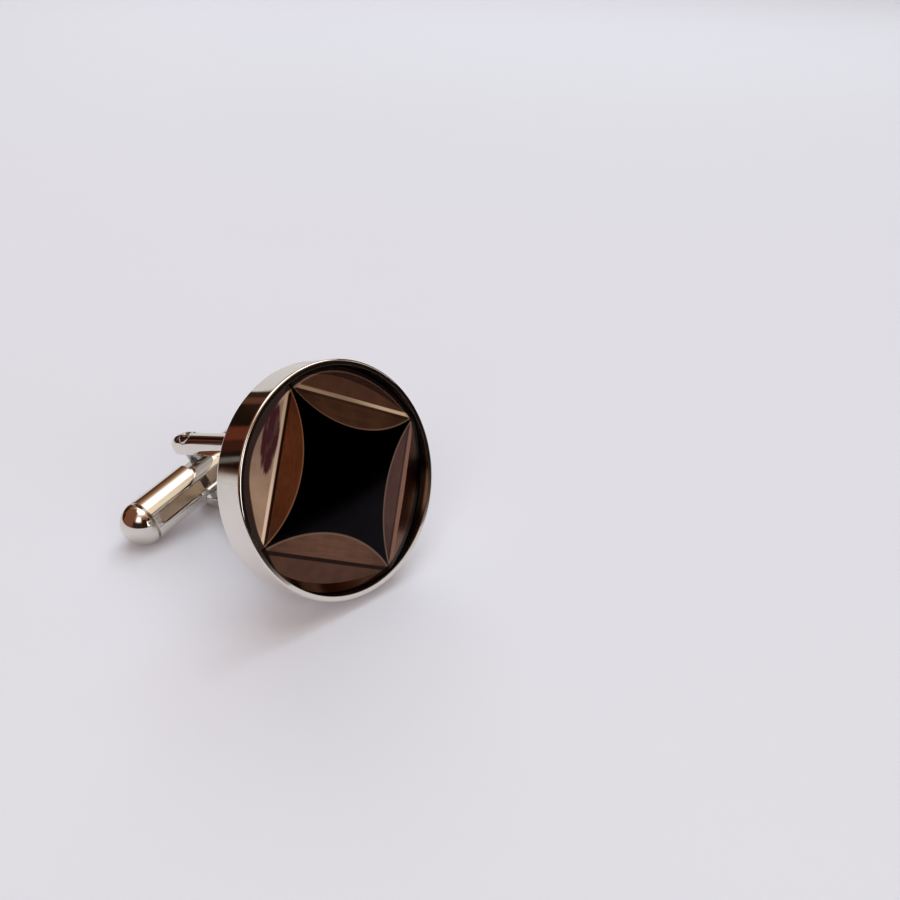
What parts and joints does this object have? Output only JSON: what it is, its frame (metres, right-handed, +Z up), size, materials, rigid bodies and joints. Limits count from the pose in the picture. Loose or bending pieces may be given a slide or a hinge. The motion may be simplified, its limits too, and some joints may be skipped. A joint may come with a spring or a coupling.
{
  "type": "cufflink",
  "caption": "Round bright-metal cufflink with a faceted smoke-dark stone, a riveted post with two legs and a swivelling bar toggle, as it rests on a table.",
  "frame": {"origin": "centre of the base of the bounding box, on the surface that the cufflink rests on", "axes": "+Z up, the face looks towards -Y and a little upwards, +X to the right as the face is seen"},
  "size_m": [0.017, 0.0232, 0.017],
  "materials": {
    "bright_plating": "polished",
    "smoke_glass": "polished",
    "mirror_foil": "mirror",
    "clear_adhesive": "satin",
    "solder": "satin",
    "pin_steel": "polished",
    "cam_brass": "machined",
    "washer_steel": "satin",
    "spring_steel": "polished"
  },
  "bodies": {
    "post": {"bezel_cup": "bright_plating", "adhesive_layer": "clear_adhesive", "mirror_foil": "mirror_foil", "stone": "smoke_glass", "solder_ring": "solder", "yoke": "bright_plating", "pivot_pin": "pin_steel", "detent_cam": "cam_brass", "upper_washer": "washer_steel", "lower_washer": "washer_steel"},
    "toggle": {"toggle_body": "bright_plating", "left_dome": "bright_plating", "right_dome": "bright_plating", "leaf_spring": "spring_steel"}
  },
  "joints": [
    {"name": "toggle_swivel", "type": "hinge", "parent": "post", "child": "toggle", "pos_m": [0, 0.00805, 0.00375], "axis": [-0.2902, 0.2741, 0.9169], "continuous": true}
  ]
}
